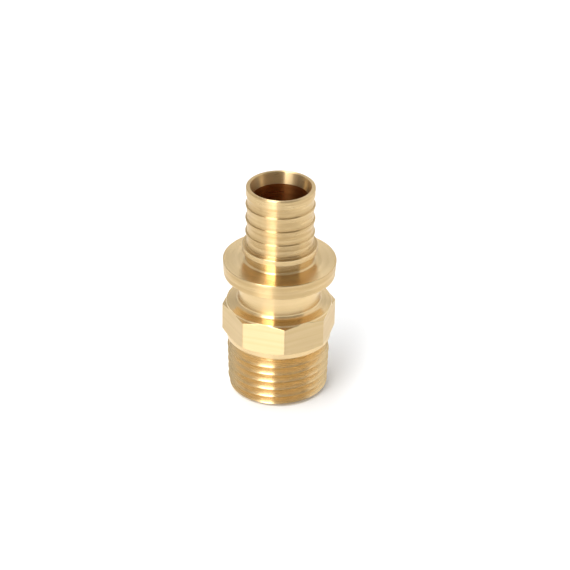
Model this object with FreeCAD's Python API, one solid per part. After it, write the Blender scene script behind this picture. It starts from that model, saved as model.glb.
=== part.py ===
import FreeCAD, Part
import math
import os

# PEX male adapter, a one-piece brass pipe fitting. From the bottom up: half-inch tapered pipe thread, relief
# groove, plain land, eight-sided wrench section, shoulder, neck, collar, ribbed spigot for plastic pipe.
# Millimetres. The origin is the centre of the thread's end face, and +Z runs up the bore.

# Tapered pipe thread, 60 degree form, right-handed
THREAD_LEAD = 1.8143               # climb per turn, 14 turns to the inch
THREAD_PITCH_DIA = 19.264          # where groove and ridge are equally wide, at the small end
THREAD_TAPER = 1 / 16              # growth of the diameter along the axis
THREAD_FLANK_DEG = 30              # each flank from the plane square to the axis
THREAD_CREST_WIDTH = 0.07          # flat along the crests; the roots are sharp
THREAD_LENGTH = 10.75              # end face to the floor of the relief groove
THREAD_FIRST_CREST = 0.7           # height of the first crest where the thread starts
THREAD_START_DEG = -73.8           # where that crest lies, from +X towards +Y
THREAD_END_CHAMFER = 0.7

# Relief groove that the thread runs out into, and the plain land above it
RELIEF_UNDERCUT = 0.08             # below the thread's roots
RELIEF_FLOOR_WIDTH = 0.45
RELIEF_SIDE_DEG = 25               # each side from the plane square to the axis
LAND_DIA = 21.7
LAND_LENGTH = 0.98

# Wrench section
WRENCH_SIDES = 8
WRENCH_ACROSS_FLATS = 21.8
WRENCH_CORNER_HEIGHT = 5.8         # corner edge between its two turned chamfers
WRENCH_LOWER_CHAMFER_DEG = 29
WRENCH_UPPER_CHAMFER_DEG = 19.5
WRENCH_FACE_DIA = 22.0             # where the upper chamfer meets the shoulder

# Shoulder, into which the flats run out, and neck
SHOULDER_HEIGHT = 1.44
SHOULDER_TOP_DIA = 20.8
NECK_DIA = 17.0
NECK_LENGTH = 5.42
NECK_FLARE = 0.4                   # 45 degrees, at the shoulder

# Collar, with forging draft on its rim
COLLAR_DIA = 23.4
COLLAR_THICKNESS = 3.2
COLLAR_DRAFT_DEG = 3.5

# Spigot root: a plain stretch that flares out to the collar, and a stop ring
ROOT_DIA = 15.0
ROOT_LENGTH = 2.35
ROOT_FLARE = 1.2                   # 45 degrees, at the collar
RING_DIA = 15.6
RING_THICKNESS = 1.25

# Ribs. Going up, each slopes out of its valley to a plain crest, which ends in a sharp ledge that faces the lip.
# The lowest has no slope, because it stands on the stop ring
RIB_COUNT = 4
RIB_DIA = 14.25
RIB_SPACING = 3.1
LOWEST_RIB_SPACING = 2.73          # from the lowest ledge to the next
LOWEST_RIB_LENGTH = 0.27
RIB_CREST_LENGTH = 0.15
RIB_SLOPE_LENGTH = 1.3
RIB_LEDGE_LENGTH = 0.12            # almost square to the axis
VALLEY_DIA = 13.65
TOP_VALLEY_LENGTH = 1.45           # from the highest ledge to the back of the lip

# Lip and countersunk mouth of the spigot
LIP_DIA = 14.1
LIP_LENGTH = 1.7
LIP_BACK_LENGTH = 0.7              # slope from the lip down to the highest valley
MOUTH_DIA = 12.5
MOUTH_DEPTH = 2.5

# Through bore
BORE_DIA = 11.6
BORE_END_CHAMFER = 0.5

# Construction values
POINTS_PER_TURN = 16               # through which the thread's helical edges are drawn
GROOVE_OVERCUT = 0.02              # how far the thread's groove is cut past its crests

# Derived thread sizes
FLANK_SLOPE = math.tan(math.radians(THREAD_FLANK_DEG))
THREAD_DEPTH = (THREAD_LEAD - THREAD_CREST_WIDTH) / 2 / FLANK_SLOPE
PITCH_LINE_DEPTH = THREAD_DEPTH - THREAD_LEAD / 4 / FLANK_SLOPE


def crest_dia(z):
    """Diameter across the thread's crests at height z."""
    return THREAD_PITCH_DIA + THREAD_TAPER * z + 2 * PITCH_LINE_DEPTH


def root_dia(z):
    """Diameter across the thread's roots at height z."""
    return crest_dia(z) - 2 * THREAD_DEPTH


def cone_height(dia_a, dia_b, degrees):
    """Height of a cone between two diameters, sloped by this angle from the plane square to the axis."""
    return abs(dia_b - dia_a) / 2 * math.tan(math.radians(degrees))


# Heights from the end face up, each built on the one below it
RELIEF_DIA = root_dia(THREAD_LENGTH) - 2 * RELIEF_UNDERCUT
RUN_OUT_START = THREAD_LENGTH - cone_height(RELIEF_DIA, crest_dia(THREAD_LENGTH), RELIEF_SIDE_DEG)
RELIEF_FLOOR_TOP = THREAD_LENGTH + RELIEF_FLOOR_WIDTH
LAND_BOTTOM = RELIEF_FLOOR_TOP + cone_height(RELIEF_DIA, LAND_DIA, RELIEF_SIDE_DEG)
LAND_TOP = LAND_BOTTOM + LAND_LENGTH
CORNER_DIA = WRENCH_ACROSS_FLATS / math.cos(math.pi / WRENCH_SIDES)
CORNER_BOTTOM = LAND_TOP + cone_height(LAND_DIA, CORNER_DIA, WRENCH_LOWER_CHAMFER_DEG)
CORNER_TOP = CORNER_BOTTOM + WRENCH_CORNER_HEIGHT
WRENCH_TOP = CORNER_TOP + cone_height(WRENCH_FACE_DIA, CORNER_DIA, WRENCH_UPPER_CHAMFER_DEG)
SHOULDER_TOP = WRENCH_TOP + SHOULDER_HEIGHT
COLLAR_BOTTOM = SHOULDER_TOP + NECK_LENGTH
COLLAR_TOP = COLLAR_BOTTOM + COLLAR_THICKNESS
RING_BOTTOM = COLLAR_TOP + ROOT_LENGTH
RING_TOP = RING_BOTTOM + RING_THICKNESS
RIB_TOPS = [RING_TOP + LOWEST_RIB_LENGTH]
for rib in range(1, RIB_COUNT):
    RIB_TOPS.append(RIB_TOPS[-1] + (LOWEST_RIB_SPACING if rib == 1 else RIB_SPACING))
LIP_BACK_BOTTOM = RIB_TOPS[-1] + TOP_VALLEY_LENGTH
LIP_BOTTOM = LIP_BACK_BOTTOM + LIP_BACK_LENGTH
TOTAL_HEIGHT = LIP_BOTTOM + LIP_LENGTH


def turned(outline):
    """Solid turned about Z from a closed outline of (diameter, height) corners."""
    corners = [FreeCAD.Vector(dia / 2, 0, height) for dia, height in outline]
    face = Part.Face(Part.makePolygon(corners + corners[:1]))
    return face.revolve(FreeCAD.Vector(0, 0, 0), FreeCAD.Vector(0, 0, 1), 360)


def thread_blank():
    """Tapered blank of the thread, chamfered at its end and sloped into the relief groove."""
    return turned([
        (BORE_DIA + 2 * BORE_END_CHAMFER, 0),
        (crest_dia(0) - 2 * THREAD_END_CHAMFER, 0),
        (crest_dia(THREAD_END_CHAMFER), THREAD_END_CHAMFER),
        (crest_dia(RUN_OUT_START), RUN_OUT_START),
        (RELIEF_DIA, THREAD_LENGTH),
        (BORE_DIA, THREAD_LENGTH),
        (BORE_DIA, BORE_END_CHAMFER),
    ])


def helix(radial, axial, turns):
    """Half-turn edges that follow the taper: so far out from the root, so far above the groove's middle."""
    points = []
    angles = []
    for step in range(turns[0] * POINTS_PER_TURN, turns[1] * POINTS_PER_TURN + 1):
        turn = step / POINTS_PER_TURN
        angle = math.radians(THREAD_START_DEG) + 2 * math.pi * turn
        middle = THREAD_FIRST_CREST + (turn - 0.5) * THREAD_LEAD
        radius = root_dia(middle) / 2 + radial
        points.append(FreeCAD.Vector(radius * math.cos(angle), radius * math.sin(angle), middle + axial))
        angles.append(angle)
    curve = Part.BSplineCurve()
    curve.interpolate(Points=points, Parameters=angles)
    spans = angles[::POINTS_PER_TURN // 2]
    return [curve.toShape(first, last) for first, last in zip(spans, spans[1:])]


def thread_groove():
    """The V groove between crests, from below the end face to past the relief groove."""
    depth = THREAD_DEPTH + GROOVE_OVERCUT
    half_mouth = depth * FLANK_SLOPE
    corners = [(0, 0), (depth, half_mouth), (depth, -half_mouth)]
    turns = (-2, math.ceil((THREAD_LENGTH - THREAD_FIRST_CREST) / THREAD_LEAD) + 2)
    rails = [helix(radial, axial, turns) for radial, axial in corners]
    faces = []
    for edges in zip(*rails):
        faces += [Part.makeRuledSurface(edges[i - 1], edges[i]) for i in range(len(edges))]
    for section in ([rail[0].firstVertex() for rail in rails], [rail[-1].lastVertex() for rail in rails]):
        outline = [vertex.Point for vertex in section]
        faces.append(Part.Face(Part.makePolygon(outline + outline[:1])))
    shell = Part.makeShell(faces)
    shell.sewShape()
    return Part.makeSolid(shell)


def ribbed_spigot():
    """Corners of the spigot's outside, from the collar's face up to the lip."""
    outline = [
        (ROOT_DIA + 2 * ROOT_FLARE, COLLAR_TOP),
        (ROOT_DIA, COLLAR_TOP + ROOT_FLARE),
        (ROOT_DIA, RING_BOTTOM),
        (RING_DIA, RING_BOTTOM),
        (RING_DIA, RING_TOP),
        (RIB_DIA, RING_TOP),
    ]
    for top in RIB_TOPS:
        if top > RIB_TOPS[0]:
            crest = top - RIB_CREST_LENGTH
            outline += [(VALLEY_DIA, crest - RIB_SLOPE_LENGTH), (RIB_DIA, crest)]
        outline += [(RIB_DIA, top), (VALLEY_DIA, top + RIB_LEDGE_LENGTH)]
    return outline + [(VALLEY_DIA, LIP_BACK_BOTTOM), (LIP_DIA, LIP_BOTTOM), (LIP_DIA, TOTAL_HEIGHT)]


def turned_body():
    """Everything above the thread, as turned: the wrench section is still round."""
    draft = 2 * COLLAR_THICKNESS * math.tan(math.radians(COLLAR_DRAFT_DEG))
    return turned([
        (BORE_DIA, THREAD_LENGTH),
        (RELIEF_DIA, THREAD_LENGTH),
        (RELIEF_DIA, RELIEF_FLOOR_TOP),
        (LAND_DIA, LAND_BOTTOM),
        (LAND_DIA, LAND_TOP),
        (CORNER_DIA, CORNER_BOTTOM),
        (CORNER_DIA, CORNER_TOP),
        (WRENCH_FACE_DIA, WRENCH_TOP),
        (SHOULDER_TOP_DIA, SHOULDER_TOP),
        (NECK_DIA + 2 * NECK_FLARE, SHOULDER_TOP),
        (NECK_DIA, SHOULDER_TOP + NECK_FLARE),
        (NECK_DIA, COLLAR_BOTTOM),
        (COLLAR_DIA - draft, COLLAR_BOTTOM),
        (COLLAR_DIA, COLLAR_TOP),
        *ribbed_spigot(),
        (MOUTH_DIA, TOTAL_HEIGHT),
        (BORE_DIA, TOTAL_HEIGHT - MOUTH_DEPTH),
    ])


def outside_flats():
    """What milling the flats takes off the round wrench section and the foot of the shoulder."""
    height = SHOULDER_TOP - LAND_TOP
    corners = []
    for side in range(WRENCH_SIDES + 1):
        angle = (side + 0.5) * 2 * math.pi / WRENCH_SIDES
        radius = CORNER_DIA / 2
        corners.append(FreeCAD.Vector(radius * math.cos(angle), radius * math.sin(angle), LAND_TOP))
    prism = Part.Face(Part.makePolygon(corners)).extrude(FreeCAD.Vector(0, 0, height))
    disc = Part.makeCylinder(CORNER_DIA, height, FreeCAD.Vector(0, 0, LAND_TOP))
    return disc.cut(prism)


def adapter_body():
    thread = thread_blank().cut(thread_groove())
    upper = turned_body().cut(outside_flats())
    return thread.fuse(upper).removeSplitter()


os.makedirs("parts", exist_ok=True)
adapter_body().exportStep("parts/adapter_body.step")
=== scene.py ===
import math

import bmesh
import bpy
import numpy as np
from mathutils import Matrix, Vector


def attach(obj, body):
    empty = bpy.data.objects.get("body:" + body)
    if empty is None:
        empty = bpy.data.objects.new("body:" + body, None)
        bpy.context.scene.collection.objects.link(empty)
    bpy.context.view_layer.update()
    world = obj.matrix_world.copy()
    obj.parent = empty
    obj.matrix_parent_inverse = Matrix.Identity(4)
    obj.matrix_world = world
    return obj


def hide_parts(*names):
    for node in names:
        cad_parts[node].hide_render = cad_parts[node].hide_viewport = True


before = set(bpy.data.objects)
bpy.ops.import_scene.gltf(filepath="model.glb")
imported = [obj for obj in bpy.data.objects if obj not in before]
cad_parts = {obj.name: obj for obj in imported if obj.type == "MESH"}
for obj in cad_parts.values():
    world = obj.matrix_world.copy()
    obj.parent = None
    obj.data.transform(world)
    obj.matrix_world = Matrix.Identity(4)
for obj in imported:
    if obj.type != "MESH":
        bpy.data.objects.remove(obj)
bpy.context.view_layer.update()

# PEX male adapter in bright brass: tapered pipe thread, eight-sided wrench section, neck, collar and ribbed
# spigot, turned from one forging. The whole fitting is one closed skin: a section worked out in numpy and
# carried round the axis, with the thread's rows climbing as they go round.
# Sizes are in millimetres and become metres in the mesh. Heights are above the thread's end face.

MM = 0.001

# Thread: rounded crests and roots on a 60 degree form
THREAD_LEAD = 1.8143
THREAD_CREST_RADIUS = 10.357       # at the end face
THREAD_TAPER = 1 / 32              # growth of the radius along the axis
THREAD_FLANK_DEG = 30
THREAD_CREST_HALF = 0.035          # half the width over which a crest is rounded,
THREAD_ROOT_HALF = 0.05            # and a root
THREAD_LENGTH = 10.75
THREAD_RUN_OUT = 10.008            # where the crests start down into the relief groove
THREAD_END_CHAMFER = 0.7
FIRST_CREST = 0.7                  # height of the first crest,
FIRST_CREST_DEG = -73.8            # at this angle round the axis
LEADS_BELOW = 2                    # the rows start this far below the first crest, cut off at the end face,
LEADS_DRAWN = 8                    # and go on for this many leads, past the thread's length
CREST_TO_ROOT = (0, 0.018, 0.045, 0.105, 0.20, 0.31, 0.41, 0.465)   # rows, in leads from a crest

# Relief groove, land and wrench section
RELIEF_RADIUS = 9.102
RELIEF_TOP = 11.2
LAND_RADIUS = 10.85
LAND_BOTTOM = 12.015
LAND_TOP = 12.995
FLATS_APOTHEM = 10.9
CORNER_CLIP = 0.03                 # milled corners are broken by this much
LOWER_CHAMFER_DEG = 29
UPPER_CHAMFER_DEG = 19.5
WRENCH_FACE_RADIUS = 11.0          # where the upper chamfer meets the shoulder
WRENCH_TOP = 19.603
MEETING_GAPS = (0.03, 0.04)        # shoulder's foot and flats' edge are moved this far where they would meet
MEETING_FADE = 0.2                 # and less, to nothing this far out on the chamfer

# Shoulder, neck and collar
SHOULDER_RADIUS = 10.87
SHOULDER_EDGE = 19.93
SHOULDER_TOP = 20.2                # its ring falls a little from the neck's foot to its edge
NECK_RADIUS = 8.5
COLLAR_BOTTOM = 26.463
COLLAR_UNDER_RADIUS = 11.504
COLLAR_RADIUS = 11.7
COLLAR_TOP = 29.663

# Spigot
ROOT_RADIUS = 7.05
RING_RADIUS = 7.8
RING_BOTTOM = 32.013
RING_TOP = 33.263
RIB_RADIUS = 7.125
VALLEY_RADIUS = 6.825
LOWEST_RIB_TOP = 33.533
RIB_TOPS = (36.263, 39.363, 42.463)
RIB_CREST_LENGTH = 0.15
RIB_SLOPE_LENGTH = 1.3
RIB_LEDGE_LENGTH = 0.12
LIP_BACK = 43.913
LIP_RADIUS = 7.05
LIP_BOTTOM = 44.613
TOTAL_HEIGHT = 46.313
MOUTH_RADIUS = 6.25
MOUTH_BOTTOM = 43.813
BORE_RADIUS = 5.8
BORE_END_CHAMFER = 0.5

# Edges and fillets as the tools leave them: radius and steps of the arc
TUMBLED_EDGE = (0.12, 3)
FINE_EDGE = (0.06, 2)
FLATS_EDGE = (0.09, 3)
NECK_FILLET = (0.85, 6)
NECK_TOP_FILLET = (0.2, 3)
ROOT_FILLET = (0.5, 6)
SLOPE_FOOT = (0.8, 3)              # where a slope leaves its valley,
SLOPE_TOP = (0.3, 2)               # and where it ends on a rib's crest
LIP_EDGE = (0.15, 4)
MOUTH_BLEND = (0.5, 3)
SUPPORT = 0.06                     # rows this far from an arc keep the sides flat
SUPPORT_SHARE = 0.35               # or this share of a side, if that is less
ARC_SHARE = 0.94                   # two arcs take up at most this share of the side between them
TINY = 1e-9

# Columns round the axis, in degrees. Each eighth has close columns at the corner of the flats
FLATS = 8
CORNER_COLUMNS = (0.0, 0.36, 0.8)
PLAIN_COLUMNS = 22
FIRST_CORNER_DEG = 112.5

# Finishes, in the order of the skin's material slots
TURNED, THREADED, MILLED, COUNTERSUNK, DRILLED, FORMED = range(6)
FLATS_REACH = 0.004                # a quad is on the flats when its middle is this near to them,
FLATS_MARGINS = (0.03, 0.05)       # and this far above the land and below the shoulder's edge
INSIDE_MARGIN = 0.01               # and inside when this much nearer to the axis than the mouth's edge


def columns():
    """Angles round the axis, in radians: eight corners, close columns beside them, even ones between."""
    close = np.array(CORNER_COLUMNS)
    even = np.linspace(close[-1], 360 / FLATS - close[-1], PLAIN_COLUMNS + 2)
    eighth = np.concatenate([close[:-1], even, 360 / FLATS - close[:0:-1]])
    eighth = np.unique(np.round(eighth, 6))
    starts = FIRST_CORNER_DEG + np.arange(FLATS) * 360 / FLATS
    return np.radians((starts[:, None] + eighth[None, :]).ravel())


ANGLES = columns()
COUNT = len(ANGLES)
LEAD_ROWS = np.array(CREST_TO_ROOT + (0.5,) + tuple(1 - s for s in CREST_TO_ROOT[:0:-1]))
PER_LEAD = len(LEAD_ROWS)


def flats_radius(angle):
    """Distance of the eight-sided outline from the axis: a / cos(d), d from a flat's middle, corners cut."""
    half = math.pi / FLATS
    from_middle = (angle + half) % (2 * half) - half
    corner = FLATS_APOTHEM / math.cos(half)
    return np.minimum(FLATS_APOTHEM / np.cos(from_middle), corner - CORNER_CLIP)


def rounded_section(corners):
    """Section through the corners (radius, height, arc, steps), for every column at once, corners as arcs.

    At a corner C with unit vectors a, b to its neighbours, an arc of radius R that turns through T touches
    the sides t = R tan(T/2) from C, less where two arcs would meet. Its centre is
    M = C + (a + b)/|a + b| sqrt(t^2 + R^2), and its points are M + (A sin((1 - s)T) + B sin(sT))/sin T,
    with A and B from M to its two ends."""
    places = np.array([np.stack(np.broadcast_arrays(radius, height, ANGLES), axis=-1)[:, :2]
                       for radius, height, _, _ in corners])
    radii = np.array([corner[2] for corner in corners[1:-1]])
    sides = np.diff(places, axis=0)
    lengths = np.linalg.norm(sides, axis=-1)
    ways = sides / lengths[..., None]
    back, ahead = -ways[:-1], ways[1:]
    turn = math.pi - np.arccos(np.clip((back * ahead).sum(-1), -1, 1))
    half_tan = np.tan(turn / 2)
    reach = np.zeros((len(corners), COUNT))
    reach[1:-1] = radii[:, None] * half_tan
    room = np.minimum(1, ARC_SHARE * lengths / np.maximum(reach[:-1] + reach[1:], TINY))
    reach[1:-1] *= np.minimum(room[:-1], room[1:])
    spare = lengths - reach[:-1] - reach[1:]
    rows = []
    for k in range(1, len(corners) - 1):
        corner, steps = places[k], corners[k][3]
        to_last, to_next = back[k - 1], ahead[k - 1]
        touch = reach[k][:, None]
        radius = touch / half_tan[k - 1][:, None]
        middle = to_last + to_next
        middle /= np.linalg.norm(middle, axis=-1)[:, None]
        centre = corner + middle * np.sqrt(touch ** 2 + radius ** 2)
        first, last = corner + to_last * touch, corner + to_next * touch
        before = np.minimum(SUPPORT, SUPPORT_SHARE * spare[k - 1])[:, None]
        after = np.minimum(SUPPORT, SUPPORT_SHARE * spare[k])[:, None]
        rows.append(first + to_last * before)
        through = turn[k - 1][:, None]
        for s in np.linspace(0, 1, steps + 1):
            swing = (first - centre) * np.sin((1 - s) * through) + (last - centre) * np.sin(s * through)
            rows.append(centre + swing / np.sin(through))
        rows.append(last + to_next * after)
    return np.array(rows)


def thread_rows():
    """Thread rows: row s lies s along the axis from the first crest, and climbs one lead in a turn.

    The blank's radius is a cone with an end chamfer and a slope into the relief groove. The V is cut below it
    to k (sqrt(d^2 + a^2) - a + v - sqrt(v^2 + b^2)), where d and v are the axial distances from the nearest
    crest and root, a and b round them, and k = 1 / tan(flank angle)."""
    row = np.arange(LEADS_DRAWN * PER_LEAD + 1)
    along = (row // PER_LEAD - LEADS_BELOW + LEAD_ROWS[row % PER_LEAD]) * THREAD_LEAD
    crest = FIRST_CREST + THREAD_LEAD * (ANGLES - math.radians(FIRST_CREST_DEG)) / (2 * math.pi)
    height = np.clip(crest[None, :] + along[:, None], 0, THREAD_LENGTH)
    cone = THREAD_CREST_RADIUS + THREAD_TAPER * height
    start = THREAD_CREST_RADIUS - THREAD_END_CHAMFER + height * (1 + THREAD_TAPER)
    crest_end = THREAD_CREST_RADIUS + THREAD_TAPER * THREAD_RUN_OUT
    fall = (crest_end - RELIEF_RADIUS) / (THREAD_LENGTH - THREAD_RUN_OUT)
    blank = np.minimum(np.minimum(cone, start), crest_end - fall * (height - THREAD_RUN_OUT))
    phase = ((height - crest) / THREAD_LEAD + 0.5) % 1 - 0.5
    from_crest = np.abs(phase) * THREAD_LEAD
    from_root = THREAD_LEAD / 2 - from_crest
    steep = 1 / math.tan(math.radians(THREAD_FLANK_DEG))
    depth = steep * (np.hypot(from_crest, THREAD_CREST_HALF) - THREAD_CREST_HALF
                     + from_root - np.hypot(from_root, THREAD_ROOT_HALF))
    radius = np.minimum(blank, cone - np.maximum(depth, 0))
    return np.stack([radius, height], axis=-1)


def thread_lengths(count):
    """Length along the thread's V, row by row, in mm: a flank's axial width over sin(flank angle)."""
    row = np.arange(count)
    along = (row // PER_LEAD + LEAD_ROWS[row % PER_LEAD]) * THREAD_LEAD
    return along / math.sin(math.radians(THREAD_FLANK_DEG))


def skin_corners(end_radius):
    """Corners from the relief groove up the outside, down the bore and out to the thread's first row.

    A flat's top edge lies where its distance from the axis meets the chamfer, or in its middle the shoulder.
    There the edge and the shoulder's foot are moved apart a little, so that both stay on the section."""
    flats = flats_radius(ANGLES)
    lower = LAND_TOP + (flats - LAND_RADIUS) * math.tan(math.radians(LOWER_CHAMFER_DEG))
    shoulder_slope = (SHOULDER_EDGE - WRENCH_TOP) / (WRENCH_FACE_RADIUS - SHOULDER_RADIUS)
    chamfer_slope = math.tan(math.radians(UPPER_CHAMFER_DEG))
    past_face = flats - WRENCH_FACE_RADIUS
    apart = np.clip(1 - past_face / MEETING_FADE, 0, 1)
    slope = np.where(past_face > 0, chamfer_slope, shoulder_slope)
    upper = WRENCH_TOP - slope * past_face - MEETING_GAPS[1] * apart
    foot = WRENCH_FACE_RADIUS + np.minimum(past_face, 0) - MEETING_GAPS[0] * apart
    foot_height = WRENCH_TOP + shoulder_slope * (WRENCH_FACE_RADIUS - foot)
    corners = [
        (RELIEF_RADIUS, THREAD_LENGTH, 0, 0),
        (RELIEF_RADIUS, RELIEF_TOP, *TUMBLED_EDGE),
        (LAND_RADIUS, LAND_BOTTOM, *TUMBLED_EDGE),
        (LAND_RADIUS, LAND_TOP, *FINE_EDGE),
        (flats, lower, *FLATS_EDGE),
        (flats, upper, *FLATS_EDGE),
        (foot, foot_height, *TUMBLED_EDGE),
        (SHOULDER_RADIUS, SHOULDER_EDGE, *TUMBLED_EDGE),
        (NECK_RADIUS, SHOULDER_TOP, *NECK_FILLET),
        (NECK_RADIUS, COLLAR_BOTTOM, *NECK_TOP_FILLET),
        (COLLAR_UNDER_RADIUS, COLLAR_BOTTOM, *TUMBLED_EDGE),
        (COLLAR_RADIUS, COLLAR_TOP, *TUMBLED_EDGE),
        (ROOT_RADIUS, COLLAR_TOP, *ROOT_FILLET),
        (ROOT_RADIUS, RING_BOTTOM, *FINE_EDGE),
        (RING_RADIUS, RING_BOTTOM, *FINE_EDGE),
        (RING_RADIUS, RING_TOP, *TUMBLED_EDGE),
        (RIB_RADIUS, RING_TOP, *FINE_EDGE),
        (RIB_RADIUS, LOWEST_RIB_TOP, *FINE_EDGE),
        (VALLEY_RADIUS, LOWEST_RIB_TOP + RIB_LEDGE_LENGTH, *FINE_EDGE),
    ]
    for top in RIB_TOPS:
        crest = top - RIB_CREST_LENGTH
        corners += [
            (VALLEY_RADIUS, crest - RIB_SLOPE_LENGTH, *SLOPE_FOOT),
            (RIB_RADIUS, crest, *SLOPE_TOP),
            (RIB_RADIUS, top, *FINE_EDGE),
            (VALLEY_RADIUS, top + RIB_LEDGE_LENGTH, *FINE_EDGE),
        ]
    corners += [
        (VALLEY_RADIUS, LIP_BACK, *SLOPE_FOOT),
        (LIP_RADIUS, LIP_BOTTOM, *SLOPE_FOOT),
        (LIP_RADIUS, TOTAL_HEIGHT, *LIP_EDGE),
        (MOUTH_RADIUS, TOTAL_HEIGHT, *FINE_EDGE),
        (BORE_RADIUS, MOUTH_BOTTOM, *MOUTH_BLEND),
        (BORE_RADIUS, BORE_END_CHAMFER, *FINE_EDGE),
        (BORE_RADIUS + BORE_END_CHAMFER, 0, *FINE_EDGE),
        (end_radius, 0, 0, 0),
    ]
    return corners


def skin_chart(places, last_thread):
    """Chart of each quad: turns round the axis across it, and mm along the mean section up it.

    A thread row ends its turn one lead further on than it began it."""
    steps = np.linalg.norm(np.diff(places.mean(axis=1), axis=0), axis=-1)
    thread = thread_lengths(last_thread + 1)
    run = np.concatenate([thread, thread[-1] + np.cumsum(steps[last_thread:])])
    climb = np.zeros(len(run))
    climb[:last_thread + 1] = thread[PER_LEAD]
    run_above = np.append(run[1:], run[-1] + 1)
    climb_above = np.append(climb[1:], 0)
    turn = np.append(ANGLES, ANGLES[0] + 2 * math.pi) / (2 * math.pi)
    share = np.linspace(0, 1, COUNT + 1)
    here = run[:, None] + climb[:, None] * share[None, :]
    above = run_above[:, None] + climb_above[:, None] * share[None, :]
    turn = np.broadcast_to(turn, here.shape)
    corners = [(turn[:, :-1], here[:, :-1]), (turn[:, 1:], here[:, 1:]),
               (turn[:, 1:], above[:, 1:]), (turn[:, :-1], above[:, :-1])]
    return np.stack([np.stack(corner, -1) for corner in corners], axis=2)


def skin_finish(places, last_thread):
    """Finish of each quad, told by the height and the distance from the axis of its left side's middle."""
    radii, heights = np.moveaxis((places + np.roll(places, -1, axis=0)) / 2, -1, 0)
    on_flats = np.abs(radii - flats_radius(ANGLES)) < FLATS_REACH
    on_flats &= (heights > LAND_TOP + FLATS_MARGINS[0]) & (heights < SHOULDER_EDGE - FLATS_MARGINS[1])
    on_rim = (heights > COLLAR_BOTTOM) & (heights < COLLAR_TOP) & (radii > COLLAR_UNDER_RADIUS)
    formed = (heights > THREAD_LENGTH) & (heights < RING_TOP) & ~on_rim
    inside = radii < MOUTH_RADIUS - INSIDE_MARGIN
    finish = np.full(radii.shape, TURNED)
    finish[formed] = FORMED
    finish[on_flats] = MILLED
    finish[inside & (heights > MOUTH_BOTTOM)] = COUNTERSUNK
    finish[inside & (heights <= MOUTH_BOTTOM)] = DRILLED
    finish[:last_thread] = THREADED
    return finish


def fitting_skin():
    """The whole fitting as one closed grid: thread rows, then the rounded section back to the first of them.

    A point is (r cos t, r sin t, h). Past the last column a thread row goes on as the row one lead higher."""
    thread = thread_rows()
    section = rounded_section(skin_corners(thread[0, :, 0]))
    places = np.concatenate([thread, section])
    rows, last_thread = len(places), len(thread) - 1
    radii, heights = places[..., 0], places[..., 1]
    points = np.stack([radii * np.cos(ANGLES), radii * np.sin(ANGLES), heights], axis=-1)
    index = np.arange(rows * COUNT).reshape(rows, COUNT)
    onward = np.arange(rows)
    onward[:last_thread + 1] = np.minimum(onward[:last_thread + 1] + PER_LEAD, last_thread)
    right = np.concatenate([index[:, 1:], index[onward, 0][:, None]], axis=1)
    above = np.roll(np.arange(rows), -1)
    quads = np.stack([index, right, right[above], index[above]], axis=-1)
    return points * MM, quads, skin_chart(places, last_thread), skin_finish(places, last_thread)


WELD = 1e-7                        # metres, as is the next
NO_LENGTH = 1e-8
SHARP_DEG = 32                     # faces that meet at more than this are shaded as an edge


def closed_piece(name, points, quads, chart, finish, materials):
    """Put the grid in a mesh, weld the points that coincide, and drop the faces that close up there."""
    mesh = bpy.data.meshes.new(name)
    flat = quads.reshape(-1, 4)
    mesh.vertices.add(len(points.reshape(-1, 3)))
    mesh.vertices.foreach_set("co", points.reshape(-1))
    mesh.loops.add(flat.size)
    mesh.loops.foreach_set("vertex_index", flat.ravel())
    mesh.polygons.add(len(flat))
    mesh.polygons.foreach_set("loop_start", np.arange(0, flat.size, 4))
    mesh.polygons.foreach_set("material_index", finish.ravel())
    mesh.update(calc_edges=True)
    layer = mesh.uv_layers.new(name="section")
    layer.data.foreach_set("uv", chart.ravel())
    work = bmesh.new()
    work.from_mesh(mesh)
    bmesh.ops.remove_doubles(work, verts=work.verts, dist=WELD)
    bmesh.ops.dissolve_degenerate(work, edges=work.edges, dist=NO_LENGTH)
    work.to_mesh(mesh)
    work.free()
    mesh.polygons.foreach_set("use_smooth", np.ones(len(mesh.polygons), dtype=bool))
    mesh.set_sharp_from_angle(angle=math.radians(SHARP_DEG))
    for material in materials:
        mesh.materials.append(material)
    piece = bpy.data.objects.new(name, mesh)
    bpy.context.scene.collection.objects.link(piece)
    return piece


def linear(code):
    """Linear colour of an sRGB hex code."""
    parts = [int(code[i:i + 2], 16) / 255 for i in (1, 3, 5)]
    return [p / 12.92 if p <= 0.04045 else ((p + 0.055) / 1.055) ** 2.4 for p in parts] + [1.0]


def add(tree, kind, settings=None, inputs=None):
    """Add a node with its own settings, and its inputs given as values or as sockets to link from."""
    node = tree.nodes.new(kind)
    for name, value in (settings or {}).items():
        setattr(node, name, value)
    for name, value in (inputs or {}).items():
        if isinstance(value, bpy.types.NodeSocket):
            tree.links.new(value, node.inputs[name])
        else:
            node.inputs[name].default_value = value
    return node


def new_tree(name):
    """A material with an empty node tree and its output."""
    material = bpy.data.materials.new(name)
    material.use_nodes = True
    tree = material.node_tree
    tree.nodes.clear()
    return material, tree, add(tree, "ShaderNodeOutputMaterial")


# Tones of the brass, each a light and a deep one that pass into each other in bands
BRASS = ("#E6CB9C", "#DCC08F")
SPIGOT_BRASS = ("#DFC392", "#D0B17E")
FLATS_BRASS = ("#DFC597", "#D9BE8E")
# The bore's tones are painted shade: the same brass, drawn deeper and redder for the shade inside the bore.
BORE_BRASS_PAINTED_SHADE = ("#C8864A", "#A8602C")
BAND_SHARE = 0.31                  # the bands are about three times as wide as the tool lines
NOISE_LOW, NOISE_HIGH = 0.3, 0.7   # noise seldom leaves this range
ALONG_AXIS = 0.25                  # of a turn: draws reflections out along the axis, across the tool lines


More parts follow.
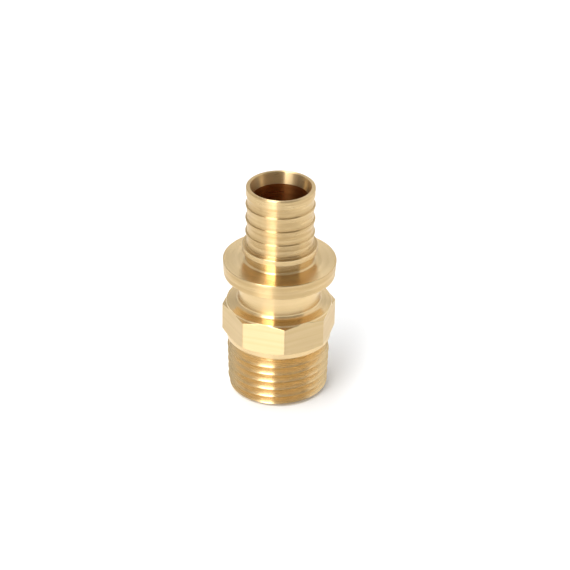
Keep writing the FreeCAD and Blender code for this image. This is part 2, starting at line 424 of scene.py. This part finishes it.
def tooled_brass(name, line_mm, around, line_depth, roughness, spread, anisotropy, tones=BRASS, level=False):
    """Bright brass with tool lines that run round the axis.

    Lines are noise on (cos t, sin t) x around and a length over the line spacing: that along the section, or
    the height where the lines are level. Their depth is in mm, and the roughness goes up and down by the
    spread from line to line."""
    material, tree, output = new_tree(name)
    coordinates = add(tree, "ShaderNodeTexCoord")
    flat = add(tree, "ShaderNodeVectorMath", {"operation": "MULTIPLY"},
               {0: coordinates.outputs["Object"], 1: (1, 1, 0)})
    round_axis = add(tree, "ShaderNodeVectorMath", {"operation": "NORMALIZE"}, {0: flat.outputs[0]})
    source, axis, unit = ("Object", "Z", MM) if level else ("UV", "Y", 1)
    along = add(tree, "ShaderNodeSeparateXYZ", None, {0: coordinates.outputs[source]})
    spun = add(tree, "ShaderNodeVectorMath", {"operation": "SCALE"},
               {0: round_axis.outputs[0], "Scale": around})
    cut = add(tree, "ShaderNodeMath", {"operation": "MULTIPLY"},
              {0: along.outputs[axis], 1: 1 / (line_mm * unit)})
    lift = add(tree, "ShaderNodeCombineXYZ", None, {"Z": cut.outputs[0]})
    place = add(tree, "ShaderNodeVectorMath", {"operation": "ADD"},
                {0: spun.outputs[0], 1: lift.outputs[0]})
    lines = add(tree, "ShaderNodeTexNoise", None,
                {"Vector": place.outputs[0], "Scale": 1.0, "Detail": 2.0, "Roughness": 0.6})
    bands = add(tree, "ShaderNodeTexNoise", None,
                {"Vector": place.outputs[0], "Scale": BAND_SHARE, "Detail": 1.0, "Roughness": 0.5})
    tint = add(tree, "ShaderNodeMapRange", None,
               {"Value": bands.outputs["Fac"], "From Min": NOISE_LOW, "From Max": NOISE_HIGH,
                "To Min": 0.0, "To Max": 1.0})
    colour = add(tree, "ShaderNodeMix", {"data_type": "RGBA"},
                 {"Factor": tint.outputs[0], 6: linear(tones[0]), 7: linear(tones[1])})
    gloss = add(tree, "ShaderNodeMapRange", None,
                {"Value": lines.outputs["Fac"], "From Min": NOISE_LOW, "From Max": NOISE_HIGH,
                 "To Min": roughness - spread, "To Max": roughness + spread})
    bump = add(tree, "ShaderNodeBump", None,
               {"Height": lines.outputs["Fac"], "Strength": 1.0, "Distance": line_depth * MM})
    tangent = add(tree, "ShaderNodeTangent", {"direction_type": "RADIAL", "axis": "Z"})
    shader = add(tree, "ShaderNodeBsdfPrincipled", None, {
        "Base Color": colour.outputs[2], "Metallic": 1.0, "Roughness": gloss.outputs[0],
        "Anisotropic": anisotropy, "Anisotropic Rotation": ALONG_AXIS,
        "Normal": bump.outputs[0], "Tangent": tangent.outputs[0]})
    tree.links.new(shader.outputs[0], output.inputs["Surface"])
    return material


# Free-cutting brass, turned: fine feed lines round the axis draw each reflection out along it. The real feed
# of about 0.1 mm is too fine to show, so it is drawn more than twice as coarse. The lines of the other
# finishes are drawn coarser than they are, too.
turned = tooled_brass("turned brass", line_mm=0.24, around=1.2, line_depth=0.005,
                      roughness=0.33, spread=0.08, anisotropy=1.0, tones=SPIGOT_BRASS)
# Brass, threaded with a die: burnished flanks that mirror each other.
threaded = tooled_brass("die-cut brass thread", line_mm=0.30, around=1.0, line_depth=0.001,
                        roughness=0.26, spread=0.03, anisotropy=0.97)
# Brass, milled across: level cutter lines on each flat and a satin look.
milled = tooled_brass("milled brass flats", line_mm=0.16, around=2.0, line_depth=0.003,
                      roughness=0.36, spread=0.04, anisotropy=0.95, tones=FLATS_BRASS, level=True)
# Brass, countersunk: the tool leaves it bright, with reflections drawn down the cone.
countersunk = tooled_brass("countersunk brass mouth", line_mm=0.30, around=3.0, line_depth=0.001,
                           roughness=0.30, spread=0.03, anisotropy=1.0)
# Brass, drilled, with plain drill rings. Its tones are painted shade: deeper and redder than the outside, for
# the dark bounces of light inside the bore.
drilled = tooled_brass("drilled brass bore with painted shade", line_mm=0.40, around=1.0, line_depth=0.004,
                       roughness=0.30, spread=0.04, anisotropy=0.9, tones=BORE_BRASS_PAINTED_SHADE)
# Brass, plunge-turned with a form tool: brighter than the fed cuts, so that it mirrors the floor.
formed = tooled_brass("form-turned brass", line_mm=0.30, around=1.2, line_depth=0.002,
                      roughness=0.20, spread=0.02, anisotropy=1.0)

finishes = [turned, threaded, milled, countersunk, drilled, formed]
skin = closed_piece("adapter_skin", *fitting_skin(), finishes)
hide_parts("adapter_body")
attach(skin, "root")

# Camera, set by the rims and corners in the photograph: its place and the ways of its three axes
VIEW_PLACE = Vector((109.250, -376.041, 251.726)) * MM
VIEW_RIGHT = Vector((0.95834, 0.28515, 0.01630))
VIEW_UP = Vector((-0.15722, 0.47902, 0.86361))
VIEW_BACK = Vector((0.23846, -0.83020, 0.50389))
VIEW_LENS = 138.632
VIEW_AZIMUTH = math.atan2(VIEW_BACK.x, -VIEW_BACK.y)

camera = bpy.data.objects.new("camera", bpy.data.cameras.new("camera"))
bpy.context.scene.collection.objects.link(camera)
view_turn = Matrix((VIEW_RIGHT, VIEW_UP, VIEW_BACK)).transposed()
camera.matrix_world = Matrix.Translation(VIEW_PLACE) @ view_turn.to_4x4()
camera.data.lens = VIEW_LENS
camera.data.sensor_width = 36
camera.data.clip_start = 0.01
camera.data.clip_end = 50
bpy.context.scene.camera = camera

# Floor: matt white board
FLOOR_SIDE = 6.0                   # metres
FLOOR_WHITE = "#F8F9FA"


def floor_board():
    """A wide flat square at height 0."""
    side = FLOOR_SIDE / 2
    mesh = bpy.data.meshes.new("floor_board")
    corners = [(-side, -side, 0), (side, -side, 0), (side, side, 0), (-side, side, 0)]
    mesh.from_pydata(corners, [], [(0, 1, 2, 3)])
    material, tree, output = new_tree("matt white board")
    shader = add(tree, "ShaderNodeBsdfDiffuse", None, {"Color": linear(FLOOR_WHITE)})
    tree.links.new(shader.outputs[0], output.inputs["Surface"])
    mesh.materials.append(material)
    board = bpy.data.objects.new("floor_board", mesh)
    bpy.context.scene.collection.objects.link(board)


floor_board()

# Studio tent: its panels fan out from a pole behind the fitting, so that on every turned surface a panel
# shows at its own angle round the axis. Each is (degrees, level low down, level above), with 0 degrees
# towards the camera and + to its right. Between panels the levels pass into each other.
STUDIO_PANELS = [
    # white cloth behind
    (-180, 1.3, 0.6), (-130, 1.1, 0.6),
    # white cloth to the left
    (-95, 0.75, 0.6), (-82, 0.6, 0.6), (-64, 0.7, 0.5), (-50, 0.7, 0.4), (-36, 0.6, 0.4),
    # strip light that draws the streak
    (-25, 1.2, 1.2), (-21, 2.5, 5.5), (-8.5, 5.0, 7.5),
    # dark side of the room, in front
    (-6, 0.7, 0.6), (2, 0.3, 0.5), (9, 0.34, 0.45), (20, 0.38, 0.45), (33, 0.42, 0.45),
    # white cloth to the right
    (38, 0.9, 1.2), (55, 1.0, 0.9), (70, 0.9, 0.7), (82, 0.7, 0.7), (100, 0.9, 0.7),
    # white cloth behind
    (135, 1.3, 0.6),
]
POLE_BACK = 0.866                  # the pole's distance from the fitting, in tent radii
LOW_TO_HIGH = (0.60, 0.85)         # sines of the elevations over which the low level passes into the high one


def panel_ramp(tree, share, levels, brightest):
    """Ramp round the tent through the panels' levels, as parts of the brightest."""
    ramp_node = add(tree, "ShaderNodeValToRGB", None, {"Fac": share})
    ramp = ramp_node.color_ramp
    ramp.elements.remove(ramp.elements[-1])
    for (degrees, _, _), level in zip(STUDIO_PANELS, levels):
        place = degrees / 360 + 0.5
        stop = ramp.elements[0] if place == 0 else ramp.elements.new(place)
        stop.position = place
        stop.color = [level / brightest] * 3 + [1.0]
    last = ramp.elements.new(1.0)
    last.color = ramp.elements[0].color
    return ramp_node.outputs["Color"]


def studio_world():
    """World light by direction (x, y, z), turned so that the camera looks along +Y.

    A direction's bearing from the pole, atan2(x, pole - y), picks the panel, and z passes from its low level
    to the high one."""
    world = bpy.data.worlds.new("studio")
    bpy.context.scene.world = world
    world.use_nodes = True
    tree = world.node_tree
    tree.nodes.clear()
    output = add(tree, "ShaderNodeOutputWorld")
    coordinates = add(tree, "ShaderNodeTexCoord")
    turned_way = add(tree, "ShaderNodeVectorRotate", {"rotation_type": "Z_AXIS"},
                     {"Vector": coordinates.outputs["Generated"], "Angle": -VIEW_AZIMUTH})
    way = add(tree, "ShaderNodeSeparateXYZ", None, {0: turned_way.outputs[0]})
    towards = add(tree, "ShaderNodeMath", {"operation": "SUBTRACT"}, {0: POLE_BACK, 1: way.outputs["Y"]})
    bearing = add(tree, "ShaderNodeMath", {"operation": "ARCTAN2"},
                  {0: way.outputs["X"], 1: towards.outputs[0]})
    share = add(tree, "ShaderNodeMapRange", None,
                {"Value": bearing.outputs[0], "From Min": -math.pi, "From Max": math.pi,
                 "To Min": 0.0, "To Max": 1.0})
    brightest = max(max(panel[1:]) for panel in STUDIO_PANELS)
    low = panel_ramp(tree, share.outputs[0], [panel[1] for panel in STUDIO_PANELS], brightest)
    high = panel_ramp(tree, share.outputs[0], [panel[2] for panel in STUDIO_PANELS], brightest)
    rise = add(tree, "ShaderNodeMapRange", {"interpolation_type": "SMOOTHSTEP"},
               {"Value": way.outputs["Z"], "From Min": LOW_TO_HIGH[0], "From Max": LOW_TO_HIGH[1],
                "To Min": 0.0, "To Max": 1.0})
    level = add(tree, "ShaderNodeMix", {"data_type": "RGBA"}, {"Factor": rise.outputs[0], 6: low, 7: high})
    light = add(tree, "ShaderNodeBackground", None, {"Color": level.outputs[2], "Strength": brightest})
    tree.links.new(light.outputs[0], output.inputs["Surface"])


studio_world()

bpy.context.scene.view_settings.view_transform = "Standard"
